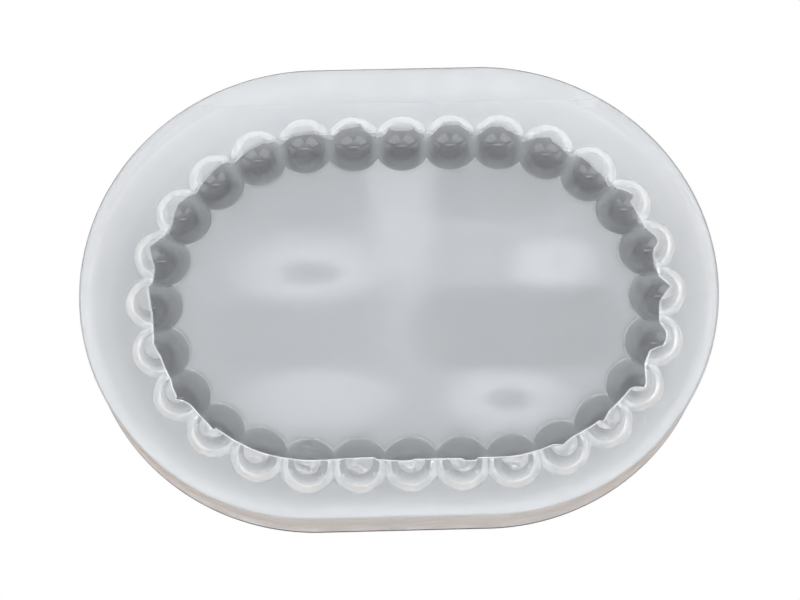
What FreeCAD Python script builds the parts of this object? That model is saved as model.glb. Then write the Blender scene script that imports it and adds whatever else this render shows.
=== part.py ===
import FreeCAD, Part
import math
import os
import Sketcher

# An open casting mould for an oval trinket tray with a beaded edge, cast in one piece of clear silicone.
# +Z is up, the mould's open face. The origin is the middle of the outer block's footprint, on its underside.
# The tray's flat plate leaves a shallow oval recess. A ring of flat-backed beads, each bigger than the space
# it has, leaves a row of overlapping round pits along the plate's edge, half of every pit under a thin skin.

NODE = "mould_body"

# Driving dimensions in millimetres, except the count.
DIMENSIONS = {
    "mould_length": 127.0,
    "mould_width": 94.0,
    "mould_height": 12.5,
    "rim_edge_radius": 0.8,
    "base_edge_radius": 0.4,
    "bead_count": 28,
    "bead_pitch": 10.0,
    "bead_row_width": 68.0,
    "bead_radius": 5.6,
    "bead_flat_radius": 2.6,
    "row_shift_x": 1.35,
    "row_shift_y": -1.8,
    "skin_thickness": 0.25,
    "floor_depth": 5.1,
    "lip_inset": 0.1,
    "tear_radius": 2.7,
    "tear_depth": 5.0,
    "cutter_overshoot": 1.0,
}

# Where the skin over a bead has torn. Beads are counted clockwise from the middle of the far long side.
# Each tear gives its bead, how far out from the bead's centre it reaches, and how far along the row it sits.
TEARS = [
    (0, 1.2, 0.0), (1, 1.9, 0.4), (2, 1.5, 0.3), (3, 1.4, 0.0), (5, 1.6, -0.2), (6, 1.4, 0.2),
    (7, 1.8, -0.1), (8, 1.8, 0.4), (9, 1.7, 0.5), (18, 0.5, -0.6), (19, 1.5, -1.3), (20, 0.6, 1.0),
    (21, 0.6, 1.5), (22, 2.1, 0.6), (23, 0.9, 0.8), (24, 0.7, 1.2), (25, 0.6, 1.2), (26, 0.6, 0.5),
    (27, 2.2, 1.0),
]

# Expressions over the sheet. The row of bead centres is an oval like the block, and its straight half
# length follows from the count and the pitch. A bead's flat back lies a skin's thickness under the open face.
ROW_RADIUS = "Dimensions.bead_row_width / 2"
ROW_HALF = "(Dimensions.bead_count * Dimensions.bead_pitch - pi * Dimensions.bead_row_width) / 4"
END_STEP = f"(Dimensions.bead_pitch / ({ROW_RADIUS}) * 180 / pi)"
FLAT_LATITUDE = "acos(Dimensions.bead_flat_radius / Dimensions.bead_radius)"
FLAT_RISE = "sqrt(Dimensions.bead_radius ^ 2 - Dimensions.bead_flat_radius ^ 2)"
BEAD_HEIGHT = f"Dimensions.mould_height - Dimensions.skin_thickness - {FLAT_RISE}"
BEADS_TO_EACH_AXIS = DIMENSIONS["bead_count"] // 4
LEVEL_TOLERANCE = 1e-6
VOLUME_TOLERANCE = 1.0

doc = FreeCAD.newDocument("beaded_tray_mould")


def make_sheet():
    """Put every driving dimension in the sheet, as text, under its own alias."""
    sheet = doc.addObject("Spreadsheet::Sheet", "Dimensions")
    for row, (alias, value) in enumerate(DIMENSIONS.items(), start=1):
        sheet.set(f"A{row}", alias.replace("_", " "))
        sheet.set(f"B{row}", str(value))
        sheet.setAlias(f"B{row}", alias)
    doc.recompute()
    return sheet


def origin_plane(body, role):
    """Return the body's own origin plane with this role."""
    for feature in body.Origin.OriginFeatures:
        if feature.Role == role:
            return feature
    raise RuntimeError(f"{body.Name} has no {role}")


def oval_sketch(body, name, end_radius, half_straight, offset):
    """Draw an oval of two straight sides and two half-round ends, its sizes bound to expressions."""
    sketch = body.newObject("Sketcher::SketchObject", name)
    sketch.AttachmentSupport = (origin_plane(body, "XY_Plane"), [""])
    sketch.MapMode = "FlatFace"
    for axis, expression in offset.items():
        sketch.setExpression(f"AttachmentOffset.Base.{axis}", expression)
    radius = DIMENSIONS["mould_width"] / 2
    half = DIMENSIONS["mould_length"] / 2 - radius
    up = FreeCAD.Vector(0, 0, 1)
    right_end = Part.Circle(FreeCAD.Vector(half, 0, 0), up, radius)
    left_end = Part.Circle(FreeCAD.Vector(-half, 0, 0), up, radius)
    far_side = Part.LineSegment(FreeCAD.Vector(-half, radius, 0), FreeCAD.Vector(half, radius, 0))
    near_side = Part.LineSegment(FreeCAD.Vector(half, -radius, 0), FreeCAD.Vector(-half, -radius, 0))
    far = sketch.addGeometry(far_side)
    right = sketch.addGeometry(Part.ArcOfCircle(right_end, -math.pi / 2, math.pi / 2))
    near = sketch.addGeometry(near_side)
    left = sketch.addGeometry(Part.ArcOfCircle(left_end, math.pi / 2, 3 * math.pi / 2))
    start, end, centre = 1, 2, 3
    x_axis, root = -1, -1
    sketch.addConstraint(Sketcher.Constraint("Tangent", far, end, right, end))
    sketch.addConstraint(Sketcher.Constraint("Tangent", right, start, near, start))
    sketch.addConstraint(Sketcher.Constraint("Tangent", near, end, left, end))
    sketch.addConstraint(Sketcher.Constraint("Tangent", left, start, far, start))
    sketch.addConstraint(Sketcher.Constraint("PointOnObject", right, centre, x_axis))
    sketch.addConstraint(Sketcher.Constraint("PointOnObject", left, centre, x_axis))
    sizes = {
        "EndRadius": (Sketcher.Constraint("Radius", right, radius), end_radius),
        "RightHalf": (Sketcher.Constraint("DistanceX", root, start, right, centre, half), half_straight),
        "LeftHalf": (Sketcher.Constraint("DistanceX", left, centre, root, start, half), half_straight),
    }
    for label, (constraint, expression) in sizes.items():
        index = sketch.addConstraint(constraint)
        sketch.renameConstraint(index, label)
        sketch.setExpression(f"Constraints.{label}", expression)
    doc.recompute()
    return sketch


def rim_edges(shape, height):
    """Name the outline edges that lie flat at this height."""
    names = []
    for index, edge in enumerate(shape.Edges, start=1):
        box = edge.BoundBox
        if abs(box.ZMin - height) < LEVEL_TOLERANCE and abs(box.ZMax - height) < LEVEL_TOLERANCE:
            names.append(f"Edge{index}")
    return names


def make_block():
    """Pad the outer block, ease its edges, and pocket the recess that the tray's plate leaves."""
    body = doc.addObject("PartDesign::Body", "block")
    outer_radius = "Dimensions.mould_width / 2"
    outer_half = "(Dimensions.mould_length - Dimensions.mould_width) / 2"
    outline = oval_sketch(body, "outer_outline", outer_radius, outer_half, {})
    pad = body.newObject("PartDesign::Pad", "block_pad")
    pad.Profile = outline
    pad.setExpression("Length", "Dimensions.mould_height")
    doc.recompute()
    eased = pad
    edges = {"rim_edge": DIMENSIONS["mould_height"], "base_edge": 0.0}
    for name, height in edges.items():
        fillet = body.newObject("PartDesign::Fillet", name)
        fillet.Base = (eased, rim_edges(eased.Shape, height))
        fillet.setExpression("Radius", f"Dimensions.{name}_radius")
        doc.recompute()
        eased = fillet
    before = eased.Shape.Volume
    offset = {
        "x": "Dimensions.row_shift_x",
        "y": "Dimensions.row_shift_y",
        "z": "Dimensions.mould_height",
    }
    plate_radius = f"{ROW_RADIUS} - Dimensions.lip_inset"
    plate = oval_sketch(body, "plate_outline", plate_radius, ROW_HALF, offset)
    recess = body.newObject("PartDesign::Pocket", "plate_recess")
    recess.Profile = plate
    recess.setExpression("Length", "Dimensions.floor_depth")
    doc.recompute()
    removed = before - recess.Shape.Volume
    expected = Part.Face(plate.Shape.Wires[0]).Area * DIMENSIONS["floor_depth"]
    if abs(removed - expected) > VOLUME_TOLERANCE:
        raise RuntimeError("the plate's recess isn't cut as deep as it should be")
    body.Tip = recess
    return body


def straight_beads():
    """Return how many beads stand on a straight side, to each side of its middle one."""
    row_radius = DIMENSIONS["bead_row_width"] / 2
    quarter_end = math.pi * row_radius / 2
    beads_on_quarter_end = int(quarter_end // DIMENSIONS["bead_pitch"])
    return BEADS_TO_EACH_AXIS - beads_on_quarter_end - 1


def row_place(index):
    """Return the expressions for bead index's x and y, and for its outward angle in degrees."""
    quarters = 4 * BEADS_TO_EACH_AXIS
    reach = straight_beads()
    for middle, side in ((0, 1), (2 * BEADS_TO_EACH_AXIS, -1)):
        along = (index - middle + quarters // 2) % quarters - quarters // 2
        if abs(along) <= reach:
            x = f"Dimensions.row_shift_x + {side * along} * Dimensions.bead_pitch"
            y = f"Dimensions.row_shift_y + {side} * {ROW_RADIUS}"
            return x, y, str(90 * side)
    side = 1 if index < 2 * BEADS_TO_EACH_AXIS else -1
    middle = (2 - side) * BEADS_TO_EACH_AXIS
    angle = f"({90 - 90 * side} + {middle - index} * {END_STEP})"
    x = f"Dimensions.row_shift_x + {side} * {ROW_HALF} + {ROW_RADIUS} * cos({angle})"
    y = f"Dimensions.row_shift_y + {ROW_RADIUS} * sin({angle})"
    return x, y, angle


def make_bead(index):
    """Make one flat-backed bead, a ball cut off level just under the open face."""
    x, y, _ = row_place(index)
    bead = doc.addObject("Part::Sphere", f"bead_{index + 1:02d}")
    bead.setExpression("Radius", "Dimensions.bead_radius")
    bead.setExpression("Angle2", FLAT_LATITUDE)
    bead.setExpression("Placement.Base.x", x)
    bead.setExpression("Placement.Base.y", y)
    bead.setExpression("Placement.Base.z", BEAD_HEIGHT)
    return bead


def make_tear(index, reach, along):
    """Make the upright cutter of the hole torn in the skin over one bead."""
    x, y, angle = row_place(index)
    outward = f"({reach} - Dimensions.tear_radius)"
    tear = doc.addObject("Part::Cylinder", f"tear_{index + 1:02d}")
    tear.setExpression("Radius", "Dimensions.tear_radius")
    tear.setExpression("Height", "Dimensions.tear_depth + Dimensions.cutter_overshoot")
    tear.setExpression("Placement.Base.x", f"{x} + {outward} * cos({angle}) + {along} * sin({angle})")
    tear.setExpression("Placement.Base.y", f"{y} + {outward} * sin({angle}) - {along} * cos({angle})")
    tear.setExpression("Placement.Base.z", "Dimensions.mould_height - Dimensions.tear_depth")
    return tear


def make_mould(block, cutters):
    """Cut the beads and the torn holes out of the block: the finished casting."""
    cavity = doc.addObject("Part::MultiFuse", "bead_ring")
    cavity.Shapes = cutters
    mould = doc.addObject("Part::Cut", NODE)
    mould.Base = block
    mould.Tool = cavity
    mould.Label = NODE
    return mould


def check(sub_parts):
    """Stop on any object that failed, and on a sub-part with an empty or broken shape."""
    for item in doc.Objects:
        if "Invalid" in item.State or "Error" in item.State:
            raise RuntimeError(f"{item.Name} failed: {item.State}")
    for item in sub_parts:
        shape = item.Shape
        if shape.isNull() or not shape.isValid() or len(shape.Solids) != 1:
            raise RuntimeError(f"{item.Label} is not one valid solid")


make_sheet()
block = make_block()
beads = [make_bead(index) for index in range(DIMENSIONS["bead_count"])]
tears = [make_tear(bead, reach, along) for bead, reach, along in TEARS]
mould = make_mould(block, beads + tears)
doc.recompute()
check([mould])

os.makedirs("parts", exist_ok=True)
mould.Shape.exportStep(f"parts/{NODE}.step")
box = mould.Shape.optimalBoundingBox()
print(f"{NODE}: {box.XLength:.2f} x {box.YLength:.2f} x {box.ZLength:.2f} mm, {mould.Shape.Volume:.0f} mm3")
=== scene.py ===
"""The looks of a one-piece silicone casting mould for an oval tray with a beaded edge."""

import math

import bmesh
import bpy
import numpy as np
from mathutils import Matrix, Vector


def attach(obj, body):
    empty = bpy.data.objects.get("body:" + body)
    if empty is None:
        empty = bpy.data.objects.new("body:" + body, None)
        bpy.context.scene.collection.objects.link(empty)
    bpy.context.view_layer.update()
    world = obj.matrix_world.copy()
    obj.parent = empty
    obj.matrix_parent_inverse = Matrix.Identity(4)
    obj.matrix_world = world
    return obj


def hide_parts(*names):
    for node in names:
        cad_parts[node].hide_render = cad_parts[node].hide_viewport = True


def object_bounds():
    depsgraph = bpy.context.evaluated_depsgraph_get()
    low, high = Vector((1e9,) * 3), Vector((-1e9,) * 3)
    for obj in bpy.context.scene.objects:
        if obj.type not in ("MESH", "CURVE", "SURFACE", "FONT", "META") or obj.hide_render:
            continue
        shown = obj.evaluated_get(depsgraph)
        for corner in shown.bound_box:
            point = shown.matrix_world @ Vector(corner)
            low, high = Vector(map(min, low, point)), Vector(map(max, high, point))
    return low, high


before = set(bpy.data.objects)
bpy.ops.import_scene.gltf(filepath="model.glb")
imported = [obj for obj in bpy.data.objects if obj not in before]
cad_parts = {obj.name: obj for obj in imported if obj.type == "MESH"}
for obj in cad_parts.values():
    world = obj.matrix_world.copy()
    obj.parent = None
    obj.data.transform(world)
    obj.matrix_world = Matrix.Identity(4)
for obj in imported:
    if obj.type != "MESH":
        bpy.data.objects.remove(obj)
cad_low, cad_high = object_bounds()

MM = 0.001

# Sizes in millimetres, as in the CAD part.
BEADS = 28
PITCH = 10.0
ROW_RADIUS = 34.0
ROW_HALF = (BEADS * PITCH - 2 * math.pi * ROW_RADIUS) / 4
ROW_SHIFT = (1.35, -1.8)
BEAD_RADIUS = 5.6
BEAD_FLAT_RADIUS = 2.6
SKIN = 0.25
FLOOR_DEPTH = 5.1
BASE_EDGE_RADIUS = 0.4

TOP = cad_high.z / MM
FLOOR = TOP - FLOOR_DEPTH
BEAD_Z = TOP - SKIN - math.sqrt(BEAD_RADIUS**2 - BEAD_FLAT_RADIUS**2)
OUTER_RADIUS = (cad_high.y - cad_low.y) / 2 / MM
OUTER_HALF = (cad_high.x - cad_low.x) / 2 / MM - OUTER_RADIUS

# Sizes that only the looks have. The lip's bevel has one width on the far side and one on the near side.
# The face's own paleness starts a border outside the bevel, and the skin's starts at a share of the way from
# the pit's wall to the lip. The rim's edge is rounder towards the right and the front.
FLOOR_EDGE_RADIUS = 0.8
LIP_THICKNESS = 0.18
LIP_BEVELS = (0.55, 0.18)
FACE_BORDER = 0.15
SKIN_BORDER_PART = 0.06
RIM_RADIUS = 0.45
RIM_ROUNDER = (0.05, -0.085)

# The lip of the opening, as torn and trimmed by hand. For each bead, clockwise from the middle of the far
# side: points along the row from the bead's centre, each with how far outward of the row the lip lies there.
LIP = [
    [(-3.4, 0.2), (-2.6, 1.2), (-1.2, 0.85), (1.2, 0.8), (2.4, 1.25), (3.2, 0.4)],
    [(-3.6, 0.2), (-2.2, 1.4), (-1.2, 1.9), (1.8, 1.9), (2.8, 0.9), (4.2, 0.3)],
    [(-3.6, 0.3), (-2.0, 1.35), (0.7, 1.5), (0.9, 0.9), (2.5, 0.45), (4.0, 0.1)],
    [(-3.8, -0.1), (0.2, 1.45), (0.6, 0.6), (1.6, 0.5), (3.5, 0.1)],
    [(-2.6, 0.3), (-0.8, 0.2), (1.3, -0.25)],
    [(-3.0, -0.1), (-1.9, 0.6), (-0.9, 1.2), (0.0, 1.65), (0.5, 1.4), (0.8, 0.3), (1.5, 0.1)],
    [(-2.9, 0.0), (-1.8, 0.55), (-0.6, 1.2), (0.3, 1.4), (1.2, 0.9), (1.8, 0.0), (3.2, -0.6)],
    [(-2.2, -0.3), (-0.1, 1.85), (0.5, 1.3), (2.2, 0.1), (3.2, -0.5)],
    [(-2.6, -0.1), (-1.6, 0.9), (-0.6, 1.7), (1.0, 1.8), (2.0, 1.55), (2.5, 0.6), (3.8, -0.6)],
    [(-3.2, -0.4), (-1.6, 0.5), (0.0, 1.6), (1.0, 1.7), (1.3, 0.7), (2.6, -0.4)],
    [(-1.0, -0.55), (1.2, 0.3), (1.5, -0.35)],
    [(-1.8, -0.5), (0.6, 0.25), (0.9, -0.1), (2.0, -0.6)],
    [(-1.0, -0.2)],
    [(-2.9, -0.2), (-2.5, 0.3), (-0.3, 0.35), (0.1, -0.1)],
    [(-0.5, -0.2), (0.0, 0.1), (2.0, 0.1)],
    [(-3.4, -0.3), (-3.0, -0.7), (2.0, -0.65)],
    [(0.0, -0.3)],
    [(0.0, 0.1)],
    [(-3.0, -0.05), (-0.8, -0.05), (-0.5, 0.55), (1.0, 0.2)],
    [(-3.9, -0.1), (-1.9, 0.7), (-1.3, 1.55), (-0.9, 1.0), (0.9, 0.7), (2.4, 0.2)],
    [(-2.5, 0.0), (0.9, 0.6), (1.4, 0.2)],
    [(-3.5, -0.3), (0.0, 0.15), (2.4, 0.6), (3.2, -0.1)],
    [(-3.4, -0.1), (-2.1, 0.7), (0.5, 2.1), (0.9, 1.7), (2.7, 0.6), (3.6, 0.1)],
    [(-3.0, -0.1), (-1.5, 0.55), (0.6, 0.95), (2.9, 0.4)],
    [(-3.0, 0.1), (0.0, 0.55), (2.7, 0.75)],
    [(-3.0, 0.1), (-0.5, 0.5), (2.2, 0.65), (3.5, 0.4)],
    [(-3.5, 0.2), (-2.0, 0.5), (2.0, 0.55), (3.5, 0.3)],
    [(-3.8, 0.25), (-2.0, 1.4), (0.8, 1.9), (1.6, 2.25), (1.9, 1.15), (3.3, 0.5)],
]

# Where the swept sections have their points: shares of the way across the floor, across the face from the
# lip to the rim, and up the wall, and how many points each arc has.
SECTIONS_PER_BEAD = 24
FLOOR_PARTS = (0.0, 0.3, 0.55, 0.75, 0.88, 0.96)
FACE_PARTS = (0.2, 0.4, 0.6, 0.75, 0.82, 0.88, 0.93, 0.98)
WALL_PARTS = (0.66, 0.33)
PIT_DOWN_POINTS = 16
PIT_UP_POINTS = 28
BASE_EDGE_POINTS = 5
SHARP_ANGLE = math.radians(32)
MERGE = 1e-7

# How pale each surface is: the share of light it scatters at once, the rest going into the rubber. Some
# values below also carry painted light, as their names say. The floor's edge has one for each of its points.
# PALES are for the far side and the near side.
FLOOR_PALE = 0.238
FLOOR_EDGE_PALE = (0.2, 0.16, 0.19, 0.26, 0.27, 0.26, 0.26)
PIT_PALE = 0.042
# The pit's inner wall, next to the floor, is paler: painted light where the wall is lit at a grazing angle.
PIT_INNER_PAINTED_LIGHT = 0.24
PIT_OUTER_PALE = 0.155
# The necks between the pits are paler: painted light, where the thin fins glow.
NECK_PAINTED_LIGHT = 0.23
SKIN_PALES = (0.1, 0.54)
# The lip's edge is pale where the torn skin scatters light, and carries a painted highlight that is
# strongest on the near side.
LIP_EDGE_PALES_AND_HIGHLIGHT = (0.0, 0.42)
LIP_TOP_PALES_AND_HIGHLIGHT = (0.08, 0.42)
FACE_PALE = 0.067
# The face is paler towards the far side: a painted sheen.
FACE_FAR_PAINTED_SHEEN = 0.17
# The face grows paler towards the rim's edge: painted light, where light from the sides enters the rubber.
FACE_EDGE_PAINTED_LIGHT = 0.245
WALL_PALE = 0.08
# Where one paleness, with its painted light, gives way to the next: outward of the row, aside from the
# bead's middle, how far the outward way points to the far side, and the share of the way across the face.
PIT_INNER_FADE = (-5.2, -1.0)
PIT_OUTER_FADE = (0.5, 3.5)
NECK_FADE = (3.3, 4.6)
FACE_FAR_FADE = (0.1, 0.95)
FACE_EDGE_FADE = (0.68, 0.96)
# The rim's rounded edge, from the face down to the wall, carries a painted shade: how dark it is, how strong
# that is on the far side and the near side, and how many of its points keep the face's paleness and painted
# light on the near side.
RIM_SHADE = (0.0, 0.8, 1.0, 1.0, 1.0, 1.0, 0.0)
RIM_SHADES = (1.0, 0.15)
RIM_PALE_POINTS = 3

# The rubber. The top's roughness and the speckle go between the two numbers of their pair. Each noise has
# its scale and its detail.
RUBBER_IOR = 1.41
COAT_ROUGHNESS = 0.05
PIT_ROUGHNESS = 0.05
FLOOR_ROUGHNESS = 0.3
TOP_ROUGHNESS = (0.16, 0.26)
TOP_NOISE = (90.0, 2.0)
FAR_ROUGHNESS = 0.36
SKIN_ROUGHNESS = 0.35
SPECKLE = (-1.2, 3.2)
SPECKLE_NOISE = (2000.0, 1.0)
GRAIN_NOISE = (2600.0, 3.0)
GRAIN_DEPTH = 0.06
RUBBER_COLOUR = (0.94, 0.95, 0.955, 1)
SKIN_COLOUR = (0.94, 0.915, 0.9, 1)
# The colour that the rim's painted shade mixes in.
RIM_PAINTED_SHADE_COLOUR = (0.12, 0.112, 0.105, 1)
MILK_COLOUR = (0.955, 0.975, 1.0, 1)
MILK_PER_METRE = 95
MILK_FORWARD = -0.3
MILK_BOUNCES = 6
# What tells the skin's underside, the top face, the floor and the far side apart: the lowest height, the
# highest and the softness, and the same along y for the far side.
SKIN_HEIGHTS = (TOP - SKIN - 0.02, TOP - SKIN + 0.02, 0.03)
TOP_HEIGHTS = (TOP - 0.7, TOP + 1.0, 0.3)
FLOOR_HEIGHTS = (FLOOR - 0.05, FLOOR + 0.05, 0.3)
FAR_PLACES = (40.0, 100.0, 1.5)

# A painted pattern of light and shade in the cavity's floor, as paler and darker patches of the rubber:
# middle, half sizes, how many times squared (1 an ellipse, 2 nearly a rectangle), the soft share of its half
# size, and how much paler.
FLOOR_PAINTED_LIGHT = [
    ((-18.7, 5.0), (19.0, 9.5), 1, 1.0, 0.12),
    ((-17.7, 4.4), (8.0, 3.5), 1, 1.0, -0.13),
    ((31.5, 5.3), (12.0, 7.5), 1, 1.0, 0.13),
    ((32.0, 5.6), (1.2, 2.2), 1, 1.0, -0.05),
    ((14.5, 6.5), (12.5, 9.0), 1, 0.5, -0.015),
    ((14.0, 9.0), (36.0, 13.0), 1, 1.0, 0.03),
    ((-20.0, -8.3), (20.0, 9.5), 2, 0.9, -0.04),
    ((23.5, -8.0), (24.0, 10.5), 2, 0.8, -0.085),
    ((-20.0, 20.5), (17.0, 7.0), 2, 0.9, -0.03),
    ((19.0, 20.5), (15.0, 7.0), 2, 0.9, -0.055),
    ((1.2, 26.0), (9.5, 34.0), 1, 1.0, 0.09),
    ((-16.5, -22.0), (20.0, 8.5), 1, 1.0, 0.11),
    ((20.5, -22.8), (16.0, 8.0), 1, 1.0, 0.13),
    ((21.0, -22.8), (6.2, 3.0), 1, 1.0, -0.14),
]
# Painted highlights on the far rim, in the same way.
FAR_RIM_PAINTED_HIGHLIGHTS = [
    ((-13.7, 44.0), (2.2, 4.0), 1, 1.0, 0.07),
    ((-5.2, 43.0), (2.8, 3.2), 1, 1.0, 0.06),
    ((4.6, 43.0), (2.2, 4.0), 1, 1.0, 0.07),
    ((13.0, 43.2), (4.0, 3.0), 1, 1.0, 0.06),
    ((23.0, 42.3), (4.2, 2.2), 1, 1.0, 0.07),
    ((39.5, 39.5), (4.0, 4.0), 1, 1.0, 0.06),
    ((-28.0, 41.5), (8.0, 3.0), 1, 1.0, 0.03),
]

# The studio. The surround and the table are in metres, the rest is in millimetres.
SURROUND_SIZE = 6.0
SURROUND_FLOOR = -0.0006
SURROUND_LIGHT = 1.0
TABLE_HALF = 3.0
TABLE_HEIGHT = -0.0005
PAPER_ROUGHNESS = 0.9
TABLE_PAPER = (0.5, 0.38, 0.27)
MIRRORED_PAPER = (0.34, 0.328, 0.335)
# The table's colour by how far outside the mould's outline it is: dark in the shade under it, bright where
# the rim gathers light along its foot.
TABLE_STOPS = [
    (-12.0, (0.05, 0.05, 0.05)),
    (-8.0, (0.07, 0.07, 0.07)),
    (-4.0, (0.5, 0.49, 0.48)),
    (-1.0, (0.62, 0.58, 0.54)),
    (3.0, TABLE_PAPER),
    (12.0, TABLE_PAPER),
    (32.0, (0.95, 0.93, 0.9)),
]
# A painted contact shadow, a dark line along the foot that only the camera sees: how far outside the outline
# it starts and ends, its height, and how bright it is.
CONTACT_OFFSETS = (-1.0, 0.03)
CONTACT_HEIGHT = -0.4
CONTACT_SHADOW_LIGHT = 0.08
# The ceiling that reflections show: its height, half its side, and how bright it is.
CEILING = 600.0
CEILING_HALF = 500.0
CEILING_LEVEL = 0.7
# A soft lamp and a soft dark flag on the ceiling, by where their reflections lie in the plane of the
# cavity's floor: middle, half sizes, and how much brighter than the ceiling.
LAMPS = [
    ((0, -125), (160, 24), 5.0),
    ((0, -90), (150, 60), -0.6),
]
# Panels that only reflections show: the lower edge's bearings from the front and its rise, the upper edge's,
# all in degrees, then the distance and how bright it is.
PANELS = [
    ("front_flag", (-80, 80, 0), (-80, 80, 58), 700.0, 0.15),
    ("low_flag", (80, 280, 0), (80, 280, 18), 700.0, 0.5),
    ("front_left", (-72, -20, 22), (-58, -2, 56), 560.0, 1.9),
    ("front_right", (20, 72, 22), (2, 58, 56), 560.0, 1.9),
]
PANEL_COLUMNS = 25
# The sky: its colour, its light at the horizon and overhead, and how far up a ray points, from 0 to 1, where
# the light is as it is overhead.
SKY_COLOUR = (0.93, 0.96, 1.0, 1)
HORIZON_LIGHT = 3.0
ZENITH_LIGHT = 1.3
ZENITH_FROM = 0.6

# The camera: its turns in radians, its distance and lens in millimetres, where on the face it looks, from
# the middle of the bead row, and how near it still sees, in metres.
TILT, ROLL, YAW = 0.321, 0.016, 0.041
DISTANCE = 373.0
LENS = 84.85
LOOK_AT = (-1.326, -1.6)
CLIP_START = 0.01


def station(distance):
    """Walk clockwise along the bead row from the middle of its far side.

    Give the place along the straight spine, as a share of its half, and the outward way.
    """
    quarter = math.pi * ROW_RADIUS / 2
    lap = 4 * (ROW_HALF + quarter)
    d = (distance + ROW_HALF) % lap
    if d < 2 * ROW_HALF:
        return d / ROW_HALF - 1, (0.0, 1.0)
    d -= 2 * ROW_HALF
    if d < 2 * quarter:
        turn = d / ROW_RADIUS
        return 1.0, (math.sin(turn), math.cos(turn))
    d -= 2 * quarter
    if d < 2 * ROW_HALF:
        return 1 - d / ROW_HALF, (0.0, -1.0)
    turn = (d - 2 * ROW_HALF) / ROW_RADIUS
    return -1.0, (-math.sin(turn), -math.cos(turn))


def row_place(distance):
    """Return the row's own place at this distance and its outward way, as flat vectors."""
    share, way = station(distance)
    way = np.array(way)
    return np.array([share * ROW_HALF, 0.0]) + np.array(ROW_SHIFT) + ROW_RADIUS * way, way


def smooth(value, fade):
    """0 below the fade's start, 1 above its end and a smooth rise between them."""
    low, high = fade
    part = min(max((value - low) / (high - low), 0.0), 1.0)
    return part * part * (3 - 2 * part)


def nearness(way):
    """0 on the far side, 1 on the near side."""
    return 0.5 - 0.5 * way[1]


def by_side(pair, way):
    """A value between the far side's and the near side's."""
    far, near = pair
    return far + (near - far) * nearness(way)


def lip_reach(distance):
    """Interpolate how far outward of the row the lip lies."""
    along = [bead * PITCH + place for bead, points in enumerate(LIP) for place, out in points]
    reach = [out for points in LIP for place, out in points]
    return float(np.interp(distance, along, reach, period=BEADS * PITCH))


def rim_radius(way):
    """The rim's outer edge is rounder towards the near right."""
    return RIM_RADIUS + RIM_ROUNDER[0] * way[0] + RIM_ROUNDER[1] * way[1]


def arc(centre, radius, start, end, count):
    """Points of an arc in a section's own plane, as outward and up."""
    turns = np.linspace(start, end, count)
    return [(centre[0] + radius * math.cos(t), centre[1] + radius * math.sin(t)) for t in turns]


def pit_arcs(middle, aside, lip):
    """The rounded floor edge, the pit's way down and its way up to the skin, as outward and up.

    The bead's centre lies outward of the row by middle, and aside from the section by aside.
    """
    drop = BEAD_Z - (FLOOR - FLOOR_EDGE_RADIUS)
    across = math.sqrt((BEAD_RADIUS + FLOOR_EDGE_RADIUS) ** 2 - drop**2)
    edge_end = math.pi - math.atan2(drop, across)
    edge_centre = (across, FLOOR - FLOOR_EDGE_RADIUS)
    edge = []
    for out, up in arc(edge_centre, FLOOR_EDGE_RADIUS, math.pi / 2, edge_end, len(FLOOR_EDGE_PALE)):
        edge.append((middle - math.sqrt(out**2 - aside**2), up))
    radius = math.sqrt(BEAD_RADIUS**2 - aside**2)
    start = math.atan2(edge[-1][1] - BEAD_Z, edge[-1][0] - middle)
    stop = math.acos(min(max((lip - middle) / radius, -1.0), 1.0))
    rise = TOP - SKIN - BEAD_Z
    if radius > rise:
        stop = min(stop, math.asin(rise / radius))
    down = arc((middle, BEAD_Z), radius, start, -math.pi / 2, PIT_DOWN_POINTS)[1:]
    up = arc((middle, BEAD_Z), radius, -math.pi / 2, stop, PIT_UP_POINTS)[1:]
    return edge, down + up


def pit_profile(distance):
    """One upright section of the pit, from the rounded floor edge down and round to the lip.

    Each point is how far outward of the row it lies, how high, and how pale the surface is there, painted
    light included.
    """
    here, way = row_place(distance)
    bead, _ = row_place(round(distance / PITCH) * PITCH)
    middle = float(np.dot(bead - here, way))
    aside = float(np.dot(bead - here, (way[1], -way[0])))
    lip = lip_reach(distance)
    edge, wall = pit_arcs(middle, aside, lip)
    points = [(*place, pale_and_painted_light) for place, pale_and_painted_light in zip(edge, FLOOR_EDGE_PALE)]
    # Painted light on the necks, where the thin fins glow.
    neck = (NECK_PAINTED_LIGHT - PIT_PALE) * smooth(abs(aside), NECK_FADE)
    for out, height in wall:
        # Painted light on the pit's inner wall.
        inner = (PIT_INNER_PAINTED_LIGHT - PIT_PALE) * (1 - smooth(out, PIT_INNER_FADE))
        outer = (PIT_OUTER_PALE - PIT_PALE) * smooth(out, PIT_OUTER_FADE)
        points.append((out, height, PIT_PALE + max(inner, neck) + outer))
    end_out, end_up = wall[-1]
    skin_pale = by_side(SKIN_PALES, way)
    points.append((end_out + (lip - end_out) * SKIN_BORDER_PART, end_up, skin_pale))
    points.append((lip, end_up, skin_pale))
    bevel = by_side(LIP_BEVELS, way)
    # The lip's edge: the torn skin's paleness and a painted highlight, strongest on the near side.
    points.append((lip, TOP - LIP_THICKNESS, by_side(LIP_EDGE_PALES_AND_HIGHLIGHT, way)))
    points.append((lip + bevel, TOP, by_side(LIP_TOP_PALES_AND_HIGHLIGHT, way)))
    # Paler towards the far side: a painted sheen.
    face_pale_and_sheen = FACE_PALE + FACE_FAR_PAINTED_SHEEN * smooth(way[1], FACE_FAR_FADE)
    points.append((lip + bevel + FACE_BORDER, TOP, face_pale_and_sheen))
    return points


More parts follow.
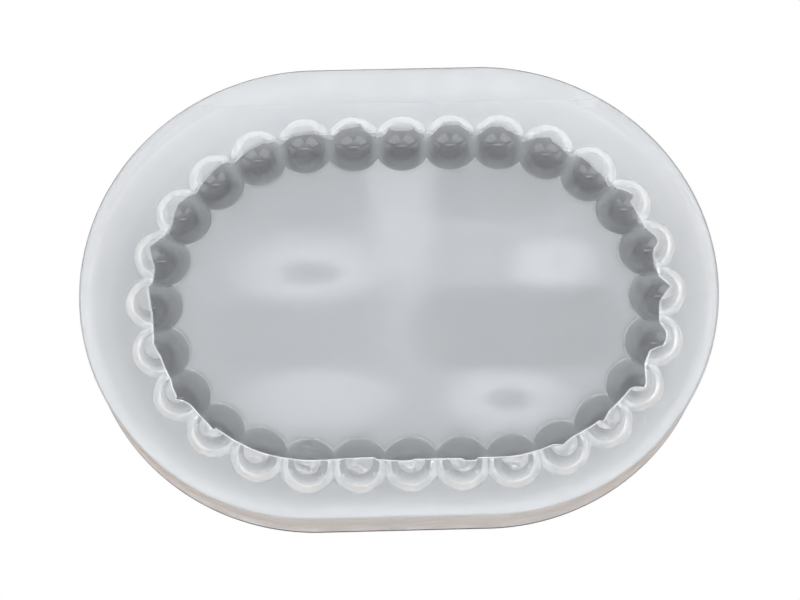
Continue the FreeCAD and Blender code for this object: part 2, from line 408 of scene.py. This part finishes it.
def outline_profile(way, edge_pale_and_light):
    """The outer edge, the wall and the underside.

    Each point is how far out it lies, how high, how pale the surface is there, painted light included, and
    how dark its painted shade is.
    """
    rim = rim_radius(way)
    places = arc((OUTER_RADIUS - rim, TOP - rim), rim, math.pi / 2, 0, len(RIM_SHADE))
    places += [(OUTER_RADIUS, TOP * part) for part in WALL_PARTS]
    base_centre = (OUTER_RADIUS - BASE_EDGE_RADIUS, BASE_EDGE_RADIUS)
    places += arc(base_centre, BASE_EDGE_RADIUS, 0, -math.pi / 2, BASE_EDGE_POINTS)
    places += [(OUTER_RADIUS / 2, 0.0), (0.0, 0.0)]
    strength = by_side(RIM_SHADES, way)
    shades = [shade * strength for shade in RIM_SHADE] + [0.0] * (len(places) - len(RIM_SHADE))
    # On the near side the rim's upper points keep the face's painted light.
    upper_pale_and_light = WALL_PALE + (edge_pale_and_light - WALL_PALE) * nearness(way) ** 2
    pales = [upper_pale_and_light] * RIM_PALE_POINTS + [WALL_PALE] * (len(places) - RIM_PALE_POINTS)
    return [(out, up, pale_and_painted_light, shade) for (out, up), pale_and_painted_light, shade in zip(places, pales, shades)]


def section(distance):
    """One upright section, from the middle of the floor round to the middle of the underside.

    Each point is its place, how pale the surface is there, painted light included, and how dark its painted
    shade is.
    """
    share, way = station(distance)
    here, way = row_place(distance)
    spine = np.array([share * ROW_HALF, 0.0]) + np.array(ROW_SHIFT)
    pit = pit_profile(distance)
    floor_end = here + way * pit[0][0]
    points = []
    for part in FLOOR_PARTS:
        points.append((*(spine + (floor_end - spine) * part), FLOOR, FLOOR_PALE, 0.0))
    for out, up, pale_and_painted_light in pit:
        points.append((*(here + way * out), up, pale_and_painted_light, 0.0))
    outer_spine = np.array([share * OUTER_HALF, 0.0])
    rim_start = outer_spine + way * (OUTER_RADIUS - rim_radius(way))
    face_start = np.array(points[-1][:2])
    face_pale_and_sheen = pit[-1][2]
    edge_pale_and_light = max(FACE_EDGE_PAINTED_LIGHT, face_pale_and_sheen)
    # Towards the rim's edge the face grows paler: painted light.
    for part in FACE_PARTS:
        pale_and_painted_light = face_pale_and_sheen + (edge_pale_and_light - face_pale_and_sheen) * smooth(part, FACE_EDGE_FADE)
        points.append((*(face_start + (rim_start - face_start) * part), TOP, pale_and_painted_light, 0.0))
    for out, up, pale_and_painted_light, shade in outline_profile(way, edge_pale_and_light):
        points.append((*(outer_spine + way * out), up, pale_and_painted_light, shade))
    return points


def mould_mesh():
    """Sweep the sections round the row into one closed skin."""
    count = BEADS * SECTIONS_PER_BEAD
    rings = [section(i * PITCH / SECTIONS_PER_BEAD) for i in range(count)]
    width = len(rings[0])
    table = np.array(rings).reshape(count * width, -1)
    vertices = (table[:, :3] * MM).tolist()
    faces = []
    for i in range(count):
        j = (i + 1) % count
        for k in range(width - 1):
            faces.append((i * width + k, j * width + k, j * width + k + 1, i * width + k + 1))
    mesh = bpy.data.meshes.new("mould_silicone")
    mesh.from_pydata(vertices, [], faces)
    for name, values in (("pale_and_painted_light", table[:, 3]), ("shade", table[:, 4])):
        mesh.attributes.new(name, "FLOAT", "POINT").data.foreach_set("value", values)
    work = bmesh.new()
    work.from_mesh(mesh)
    bmesh.ops.remove_doubles(work, verts=work.verts, dist=MERGE)
    bmesh.ops.dissolve_degenerate(work, edges=work.edges, dist=MERGE)
    bmesh.ops.recalc_face_normals(work, faces=work.faces)
    for face in work.faces:
        face.smooth = True
    for edge in work.edges:
        edge.smooth = edge.calc_face_angle(0.0) < SHARP_ANGLE
    work.to_mesh(mesh)
    work.free()
    return mesh


def add(name, mesh):
    """Put a mesh into the scene as a new object."""
    piece = bpy.data.objects.new(name, mesh)
    bpy.context.scene.collection.objects.link(piece)
    return piece


def maths(tree, operation, *values):
    """A maths node on numbers and sockets."""
    node = tree.nodes.new("ShaderNodeMath")
    node.operation = operation
    for socket, value in zip(node.inputs, values):
        if isinstance(value, float):
            socket.default_value = value
        else:
            tree.links.new(value, socket)
    return node.outputs["Value"]


def between(tree, value, low, high, soft):
    """1 where a value in metres lies between low and high millimetres, with soft ends, else 0."""
    ends = []
    for outside, inside in ((low - soft, low), (high + soft, high)):
        end = tree.nodes.new("ShaderNodeMapRange")
        end.interpolation_type = "SMOOTHSTEP"
        end.inputs["From Min"].default_value = outside * MM
        end.inputs["From Max"].default_value = inside * MM
        tree.links.new(value, end.inputs["Value"])
        ends.append(end.outputs["Result"])
    return maths(tree, "MULTIPLY", *ends)


def mixed(tree, share, first, second):
    """A value that goes from first to second with share."""
    span = tree.nodes.new("ShaderNodeMapRange")
    tree.links.new(share, span.inputs["Value"])
    for socket, end in (("To Min", first), ("To Max", second)):
        if isinstance(end, float):
            span.inputs[socket].default_value = end
        else:
            tree.links.new(end, span.inputs[socket])
    return span.outputs["Result"]


def mixed_colour(tree, share, first, second):
    """A colour that goes from first to second with share. The first may be a socket."""
    mix = tree.nodes.new("ShaderNodeMix")
    mix.data_type = "RGBA"
    tree.links.new(share, mix.inputs["Factor"])
    if isinstance(first, tuple):
        mix.inputs["A"].default_value = first
    else:
        tree.links.new(first, mix.inputs["A"])
    mix.inputs["B"].default_value = second
    return mix.outputs["Result"]


def noise(tree, place, scale, detail):
    """Soft noise from 0 to 1."""
    texture = tree.nodes.new("ShaderNodeTexNoise")
    texture.inputs["Scale"].default_value = scale
    texture.inputs["Detail"].default_value = detail
    tree.links.new(place, texture.inputs["Vector"])
    return texture.outputs["Fac"]


def attribute(tree, name):
    """A number that the mesh carries at its points."""
    node = tree.nodes.new("ShaderNodeAttribute")
    node.attribute_name = name
    return node.outputs["Fac"]


def unit_place(tree, place, middle, scale):
    """A place measured from a middle, in units of a scale. The sockets take metres."""
    mapping = tree.nodes.new("ShaderNodeMapping")
    mapping.vector_type = "TEXTURE"
    mapping.inputs["Location"].default_value = middle
    mapping.inputs["Scale"].default_value = scale
    tree.links.new(place, mapping.inputs["Vector"])
    return mapping.outputs["Vector"]


def painted_light_patches(tree, place, painted_patches):
    """How much paler the rubber is at each place: painted light and shade in patches."""
    total = 0.0
    for middle, half, squarings, soft, gain in painted_patches:
        middle = (middle[0] * MM, middle[1] * MM, 0)
        scale = (half[0] * MM, half[1] * MM, 1)
        vector = unit_place(tree, place, middle, scale)
        for _ in range(squarings):
            square = tree.nodes.new("ShaderNodeVectorMath")
            square.operation = "MULTIPLY"
            tree.links.new(vector, square.inputs[0])
            tree.links.new(vector, square.inputs[1])
            vector = square.outputs["Vector"]
        size = tree.nodes.new("ShaderNodeVectorMath")
        size.operation = "DOT_PRODUCT"
        size.inputs[1].default_value = (1, 1, 0)
        tree.links.new(vector, size.inputs[0])
        inside = tree.nodes.new("ShaderNodeMapRange")
        inside.interpolation_type = "SMOOTHSTEP"
        inside.inputs["From Min"].default_value = 1.0
        inside.inputs["From Max"].default_value = (1 - soft) ** (2 * squarings)
        tree.links.new(size.outputs["Value"], inside.inputs["Value"])
        total = maths(tree, "MULTIPLY_ADD", inside.outputs["Result"], gain, total)
    return total


def add_milk(tree):
    """Fill the rubber with a little milk."""
    scatter = tree.nodes.new("ShaderNodeVolumeScatter")
    scatter.inputs["Color"].default_value = MILK_COLOUR
    scatter.inputs["Density"].default_value = MILK_PER_METRE
    scatter.inputs["Anisotropy"].default_value = MILK_FORWARD
    tree.links.new(scatter.outputs["Volume"], tree.nodes["Material Output"].inputs["Volume"])
    bpy.context.scene.cycles.volume_bounces = MILK_BOUNCES


def silicone():
    """Clear rubber with a little milk in it: the thicker it is, the paler it looks."""
    material = bpy.data.materials.new("silicone")
    material.use_nodes = True
    tree = material.node_tree
    shader = tree.nodes["Principled BSDF"]
    shader.inputs["IOR"].default_value = RUBBER_IOR
    shader.inputs["Coat Weight"].default_value = 1.0
    shader.inputs["Coat Roughness"].default_value = COAT_ROUGHNESS
    place = tree.nodes.new("ShaderNodeTexCoord").outputs["Object"]
    split = tree.nodes.new("ShaderNodeSeparateXYZ")
    tree.links.new(place, split.inputs["Vector"])
    height = split.outputs["Z"]
    skin = between(tree, height, *SKIN_HEIGHTS)
    top = between(tree, height, *TOP_HEIGHTS)
    floor = between(tree, height, *FLOOR_HEIGHTS)
    far = between(tree, split.outputs["Y"], *FAR_PLACES)

    satin = mixed(tree, noise(tree, place, *TOP_NOISE), *TOP_ROUGHNESS)
    satin = mixed(tree, far, satin, FAR_ROUGHNESS)
    roughness = mixed(tree, top, mixed(tree, floor, PIT_ROUGHNESS, FLOOR_ROUGHNESS), satin)
    roughness = mixed(tree, skin, roughness, SKIN_ROUGHNESS)
    tree.links.new(roughness, shader.inputs["Roughness"])

    speckle = mixed(tree, noise(tree, place, *SPECKLE_NOISE), *SPECKLE)
    speckle = mixed(tree, skin, 1.0, speckle)
    # Painted light and shade in patches on the cavity's floor.
    painted_patches = maths(tree, "MULTIPLY", painted_light_patches(tree, place, FLOOR_PAINTED_LIGHT), floor)
    # Painted highlights on the far rim's top face.
    painted_patches = maths(tree, "MULTIPLY_ADD", painted_light_patches(tree, place, FAR_RIM_PAINTED_HIGHLIGHTS), top, painted_patches)
    # The paleness attribute carries the rubber's own scatter and painted light.
    paleness_with_painted_light = maths(tree, "MULTIPLY_ADD", attribute(tree, "pale_and_painted_light"), speckle, painted_patches)
    tree.links.new(maths(tree, "SUBTRACT", 1.0, paleness_with_painted_light), shader.inputs["Transmission Weight"])

    tint = mixed_colour(tree, skin, RUBBER_COLOUR, SKIN_COLOUR)
    # Painted shade: the rim's rounded edge turns dark, most on the far side.
    tint = mixed_colour(tree, attribute(tree, "shade"), tint, RIM_PAINTED_SHADE_COLOUR)
    tree.links.new(tint, shader.inputs["Base Color"])

    grain = tree.nodes.new("ShaderNodeBump")
    grain.inputs["Distance"].default_value = GRAIN_DEPTH * MM
    tree.links.new(skin, grain.inputs["Strength"])
    tree.links.new(noise(tree, place, *GRAIN_NOISE), grain.inputs["Height"])
    tree.links.new(grain.outputs["Normal"], shader.inputs["Normal"])
    add_milk(tree)
    return material


def plain(name, colour):
    """Matt paper of one colour."""
    material = bpy.data.materials.new(name)
    material.use_nodes = True
    shader = material.node_tree.nodes["Principled BSDF"]
    shader.inputs["Base Color"].default_value = (*colour, 1)
    shader.inputs["Roughness"].default_value = PAPER_ROUGHNESS
    return material


def glow(name, strength):
    """A white glow."""
    material = bpy.data.materials.new(name)
    material.use_nodes = True
    nodes = material.node_tree.nodes
    nodes.remove(nodes["Principled BSDF"])
    emission = nodes.new("ShaderNodeEmission")
    emission.inputs["Color"].default_value = (1, 1, 1, 1)
    emission.inputs["Strength"].default_value = strength
    material.node_tree.links.new(emission.outputs["Emission"], nodes["Material Output"].inputs["Surface"])
    return material


def staged(name, mesh, material, camera=False, reflections=False, light=False):
    """Add a piece of the studio that only the camera, only reflections or only other light meets."""
    piece = add(name, mesh)
    mesh.materials.append(material)
    piece.visible_camera = camera
    piece.visible_glossy = reflections
    piece.visible_diffuse = light
    piece.visible_transmission = light
    piece.visible_volume_scatter = light
    piece.visible_shadow = light


def square(name, middle, half, height):
    """A level square with its middle and half side given."""
    x, y = middle
    corners = [(x - half, y - half), (x + half, y - half), (x + half, y + half), (x - half, y + half)]
    mesh = bpy.data.meshes.new(name)
    mesh.from_pydata([(*corner, height) for corner in corners], [], [(0, 1, 2, 3)])
    return mesh


def surround_mesh():
    """A large box that stands just under the table."""
    mesh = bpy.data.meshes.new("surround")
    work = bmesh.new()
    middle = Matrix.Translation((0, 0, SURROUND_SIZE / 2 + SURROUND_FLOOR))
    bmesh.ops.create_cube(work, size=SURROUND_SIZE, matrix=middle)
    work.to_mesh(mesh)
    work.free()
    return mesh


def shaded_paper():
    """Warm paper that darkens softly under the mould, where little light reaches it."""
    material = plain("table_paper", TABLE_PAPER)
    tree = material.node_tree
    place = tree.nodes.new("ShaderNodeTexCoord")
    split = tree.nodes.new("ShaderNodeSeparateXYZ")
    tree.links.new(place.outputs["Object"], split.inputs["Vector"])
    past = maths(tree, "SUBTRACT", maths(tree, "ABSOLUTE", split.outputs["X"]), OUTER_HALF * MM)
    joined = tree.nodes.new("ShaderNodeCombineXYZ")
    tree.links.new(maths(tree, "MAXIMUM", past, 0.0), joined.inputs["X"])
    tree.links.new(split.outputs["Y"], joined.inputs["Y"])
    length = tree.nodes.new("ShaderNodeVectorMath")
    length.operation = "LENGTH"
    tree.links.new(joined.outputs["Vector"], length.inputs[0])
    first, last = TABLE_STOPS[0][0], TABLE_STOPS[-1][0]
    span = tree.nodes.new("ShaderNodeMapRange")
    span.inputs["From Min"].default_value = (OUTER_RADIUS + first) * MM
    span.inputs["From Max"].default_value = (OUTER_RADIUS + last) * MM
    tree.links.new(length.outputs["Value"], span.inputs["Value"])
    ramp = tree.nodes.new("ShaderNodeValToRGB")
    ramp.color_ramp.interpolation = "EASE"
    elements = ramp.color_ramp.elements
    while len(elements) < len(TABLE_STOPS):
        elements.new(0.5)
    for element, (stop, colour) in zip(elements, TABLE_STOPS):
        element.position = (stop - first) / (last - first)
        element.color = (*colour, 1)
    tree.links.new(span.outputs["Result"], ramp.inputs["Fac"])
    tree.links.new(ramp.outputs["Color"], tree.nodes["Principled BSDF"].inputs["Base Color"])
    return material


def contact_shadow_mesh():
    """A thin band on the table along the mould's outline, for the painted contact shadow."""
    points = []
    for offset in CONTACT_OFFSETS:
        for i in range(BEADS * SECTIONS_PER_BEAD):
            share, way = station(i * PITCH / SECTIONS_PER_BEAD)
            x = share * OUTER_HALF + way[0] * (OUTER_RADIUS + offset)
            y = way[1] * (OUTER_RADIUS + offset)
            points.append((x * MM, y * MM, CONTACT_HEIGHT * MM))
    count = len(points) // 2
    faces = [(i, (i + 1) % count, count + (i + 1) % count, count + i) for i in range(count)]
    mesh = bpy.data.meshes.new("contact_shadow")
    mesh.from_pydata(points, [], faces)
    return mesh


def above(x, y):
    """The place on the ceiling that the camera sees mirrored in the cavity's floor at this place."""
    eye = camera_place() / MM
    grow = (CEILING - FLOOR + eye.z - FLOOR) / (eye.z - FLOOR)
    return eye.x + (x - eye.x) * grow, eye.y + (y - eye.y) * grow


def ceiling_mesh():
    """The ceiling, facing down, with its middle over what the floor's middle mirrors."""
    x, y = above(0, 0)
    mesh = square("ceiling", (x * MM, y * MM), CEILING_HALF * MM, CEILING * MM)
    mesh.flip_normals()
    return mesh


def ceiling_glow():
    """An even glow with the soft lamps and dark flags in it."""
    material = glow("ceiling_glow", CEILING_LEVEL)
    tree = material.node_tree
    emission = next(node for node in tree.nodes if node.type == "EMISSION")
    place = tree.nodes.new("ShaderNodeTexCoord").outputs["Object"]
    total = CEILING_LEVEL
    for (x, y), (half_x, half_y), gain in LAMPS:
        middle_x, middle_y = above(x, y)
        edge_x, edge_y = above(x + half_x, y + half_y)
        middle = (middle_x * MM, middle_y * MM, CEILING * MM)
        scale = ((edge_x - middle_x) * MM, (edge_y - middle_y) * MM, 1)
        spot = tree.nodes.new("ShaderNodeTexGradient")
        spot.gradient_type = "QUADRATIC_SPHERE"
        tree.links.new(unit_place(tree, place, middle, scale), spot.inputs["Vector"])
        total = maths(tree, "MULTIPLY_ADD", spot.outputs["Fac"], gain, total)
    tree.links.new(total, emission.inputs["Strength"])
    return material


def panel_mesh(name, lower, upper, distance):
    """A card bent round the mould."""
    points = []
    for left, right, rise in (lower, upper):
        for bearing in np.radians(np.linspace(left, right, PANEL_COLUMNS)):
            climb = math.radians(rise)
            flat = Vector((math.sin(bearing), -math.cos(bearing), 0.0))
            points.append((flat * math.cos(climb) + Vector((0, 0, math.sin(climb)))) * distance * MM)
    count = PANEL_COLUMNS
    faces = [(i, i + 1, count + i + 1, count + i) for i in range(count - 1)]
    mesh = bpy.data.meshes.new(name)
    mesh.from_pydata(points, [], faces)
    return mesh


def make_studio():
    """A white surround and a painted contact shadow for the camera, and the rest for the other rays.

    Reflections meet a grey table, the ceiling and the panels. All other light meets the shaded paper.
    """
    surround_white = glow("surround_white", SURROUND_LIGHT)
    staged("surround", surround_mesh(), surround_white, camera=True)
    table = square("table", (0, 0), TABLE_HALF, TABLE_HEIGHT)
    staged("table", table, shaded_paper(), light=True)
    mirrored = square("table_mirrored", (0, 0), TABLE_HALF, TABLE_HEIGHT)
    staged("table_mirrored", mirrored, plain("table_mirrored", MIRRORED_PAPER), reflections=True)
    # Painted contact shadow: a dark glowing band along the foot.
    staged("contact_shadow", contact_shadow_mesh(), glow("painted_contact_shadow", CONTACT_SHADOW_LIGHT), camera=True)
    staged("ceiling", ceiling_mesh(), ceiling_glow(), reflections=True)
    for name, lower, upper, distance, strength in PANELS:
        mesh = panel_mesh(name, lower, upper, distance)
        staged(name, mesh, glow(name + "_glow", strength), reflections=True)


def make_world():
    """A soft sky, brighter at the horizon than overhead."""
    world = bpy.data.worlds.new("studio")
    world.use_nodes = True
    sky = world.node_tree
    background = sky.nodes["Background"]
    background.inputs["Color"].default_value = SKY_COLOUR
    ray = sky.nodes.new("ShaderNodeTexCoord")
    parts = sky.nodes.new("ShaderNodeSeparateXYZ")
    climb = sky.nodes.new("ShaderNodeMapRange")
    climb.inputs["From Max"].default_value = ZENITH_FROM
    climb.inputs["To Min"].default_value = HORIZON_LIGHT
    climb.inputs["To Max"].default_value = ZENITH_LIGHT
    sky.links.new(ray.outputs["Generated"], parts.inputs["Vector"])
    sky.links.new(parts.outputs["Z"], climb.inputs["Value"])
    sky.links.new(climb.outputs["Result"], background.inputs["Strength"])
    bpy.context.scene.world = world


def camera_axes():
    """The camera's right, up and viewing ways."""
    tilt_in, tilt_down = math.sin(TILT), math.cos(TILT)
    look = Vector((math.sin(YAW) * tilt_in, math.cos(YAW) * tilt_in, -tilt_down))
    right = look.cross(Vector((0, 0, 1))).normalized()
    up = right.cross(look)
    turned_right = right * math.cos(ROLL) + up * math.sin(ROLL)
    turned_up = up * math.cos(ROLL) - right * math.sin(ROLL)
    return turned_right, turned_up, look


def camera_place():
    """The camera's place, in metres."""
    target = Vector((LOOK_AT[0] + ROW_SHIFT[0], LOOK_AT[1] + ROW_SHIFT[1], TOP)) * MM
    return target - camera_axes()[2] * DISTANCE * MM


def make_camera():
    """Look down from a little in front of the mould."""
    right, up, look = camera_axes()
    data = bpy.data.cameras.new("camera")
    data.lens = LENS
    data.clip_start = CLIP_START
    camera = bpy.data.objects.new("camera", data)
    turn = Matrix((right, up, -look)).transposed().to_4x4()
    camera.matrix_world = Matrix.Translation(camera_place()) @ turn
    bpy.context.scene.collection.objects.link(camera)
    bpy.context.scene.camera = camera


mould = add("mould_silicone", mould_mesh())
mould.data.materials.append(silicone())
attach(mould, "root")
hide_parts("mould_body")

make_studio()
make_world()
make_camera()
bpy.context.scene.view_settings.view_transform = "Standard"
